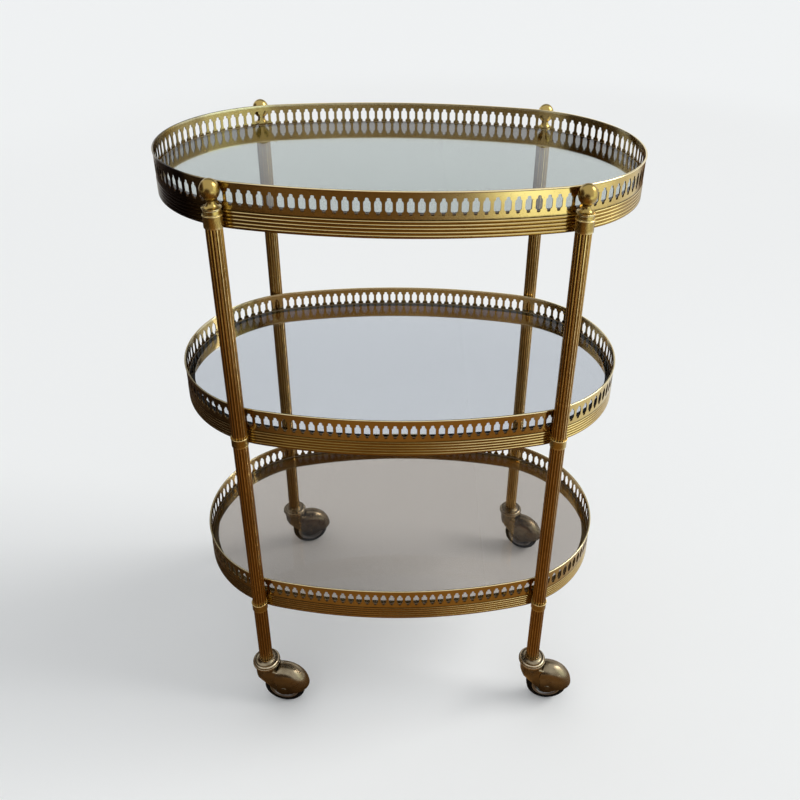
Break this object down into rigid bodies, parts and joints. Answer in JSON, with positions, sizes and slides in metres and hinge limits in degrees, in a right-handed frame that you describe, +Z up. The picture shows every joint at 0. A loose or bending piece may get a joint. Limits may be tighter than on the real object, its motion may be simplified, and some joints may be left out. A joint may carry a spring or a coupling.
{
  "type": "bar cart",
  "caption": "Oval brass bar cart: glass panes in pierced gallery trays, carried by fluted corner posts with egg finials on swivelling hooded casters",
  "frame": {"origin": "on the floor below the middle of the trays", "axes": "+X along the trays, +Y from the front to the rear, +Z up"},
  "size_m": [0.6, 0.3683, 0.8435],
  "materials": {
    "brass_gallery": "polished, slightly aged lacquered brass",
    "brass_frame": "polished, slightly aged lacquered brass",
    "brass_post": "polished, slightly aged brass",
    "brass_finial": "polished, slightly aged brass",
    "bronze": "antiqued plated brass, satin",
    "wheel_metal": "dull zinc-plated steel",
    "tyre": "smooth black rubber",
    "glass": "clear float glass with ground edges"
  },
  "bodies": {
    "cart": {"gallery_bottom": "brass_gallery", "frame_bottom": "brass_frame", "glass_bottom": "glass", "gallery_middle": "brass_gallery", "frame_middle": "brass_frame", "glass_middle": "glass", "gallery_top": "brass_gallery", "frame_top": "brass_frame", "glass_top": "glass", "post_upper_front_left": "brass_post", "post_lower_front_left": "brass_post", "foot_front_left": "brass_post", "sleeve_front_left": "brass_post", "collar_mid_front_left": "brass_post", "collar_low_front_left": "brass_post", "finial_front_left": "brass_finial", "caster_cup_front_left": "bronze", "post_upper_front_right": "brass_post", "post_lower_front_right": "brass_post", "foot_front_right": "brass_post", "sleeve_front_right": "brass_post", "collar_mid_front_right": "brass_post", "collar_low_front_right": "brass_post", "finial_front_right": "brass_finial", "caster_cup_front_right": "bronze", "post_upper_rear_left": "brass_post", "post_lower_rear_left": "brass_post", "foot_rear_left": "brass_post", "sleeve_rear_left": "brass_post", "collar_mid_rear_left": "brass_post", "collar_low_rear_left": "brass_post", "finial_rear_left": "brass_finial", "caster_cup_rear_left": "bronze", "post_upper_rear_right": "brass_post", "post_lower_rear_right": "brass_post", "foot_rear_right": "brass_post", "sleeve_rear_right": "brass_post", "collar_mid_rear_right": "brass_post", "collar_low_rear_right": "brass_post", "finial_rear_right": "brass_finial", "caster_cup_rear_right": "bronze"},
    "swivel_front_left": {"caster_hood_front_left": "bronze", "caster_axle_front_left": "bronze"},
    "wheel_front_left": {"caster_hub_front_left": "wheel_metal", "caster_tyre_front_left": "tyre"},
    "swivel_front_right": {"caster_hood_front_right": "bronze", "caster_axle_front_right": "bronze"},
    "wheel_front_right": {"caster_hub_front_right": "wheel_metal", "caster_tyre_front_right": "tyre"},
    "swivel_rear_left": {"caster_hood_rear_left": "bronze", "caster_axle_rear_left": "bronze"},
    "wheel_rear_left": {"caster_hub_rear_left": "wheel_metal", "caster_tyre_rear_left": "tyre"},
    "swivel_rear_right": {"caster_hood_rear_right": "bronze", "caster_axle_rear_right": "bronze"},
    "wheel_rear_right": {"caster_hub_rear_right": "wheel_metal", "caster_tyre_rear_right": "tyre"}
  },
  "joints": [
    {"name": "caster_swivel_front_left", "type": "hinge", "parent": "cart", "child": "swivel_front_left", "pos_m": [-0.20105, -0.16003, 0.079], "axis": [0, 0, 1], "continuous": true},
    {"name": "wheel_spin_front_left", "type": "hinge", "parent": "swivel_front_left", "child": "wheel_front_left", "pos_m": [-0.17524, -0.16319, 0.031], "axis": [0.1219, 0.9925, 0], "continuous": true},
    {"name": "caster_swivel_front_right", "type": "hinge", "parent": "cart", "child": "swivel_front_right", "pos_m": [0.20105, -0.16003, 0.079], "axis": [0, 0, 1], "continuous": true},
    {"name": "wheel_spin_front_right", "type": "hinge", "parent": "swivel_front_right", "child": "wheel_front_right", "pos_m": [0.22695, -0.16229, 0.031], "axis": [0.0872, 0.9962, 0], "continuous": true},
    {"name": "caster_swivel_rear_left", "type": "hinge", "parent": "cart", "child": "swivel_rear_left", "pos_m": [-0.20105, 0.16003, 0.079], "axis": [0, 0, 1], "continuous": true},
    {"name": "wheel_spin_rear_left", "type": "hinge", "parent": "swivel_rear_left", "child": "wheel_rear_left", "pos_m": [-0.17582, 0.16631, 0.031], "axis": [-0.2419, 0.9703, 0], "continuous": true},
    {"name": "caster_swivel_rear_right", "type": "hinge", "parent": "cart", "child": "swivel_rear_right", "pos_m": [0.20105, 0.16003, 0.079], "axis": [0, 0, 1], "continuous": true},
    {"name": "wheel_spin_rear_right", "type": "hinge", "parent": "swivel_rear_right", "child": "wheel_rear_right", "pos_m": [0.22461, 0.14904, 0.031], "axis": [0.4226, 0.9063, 0], "continuous": true}
  ]
}
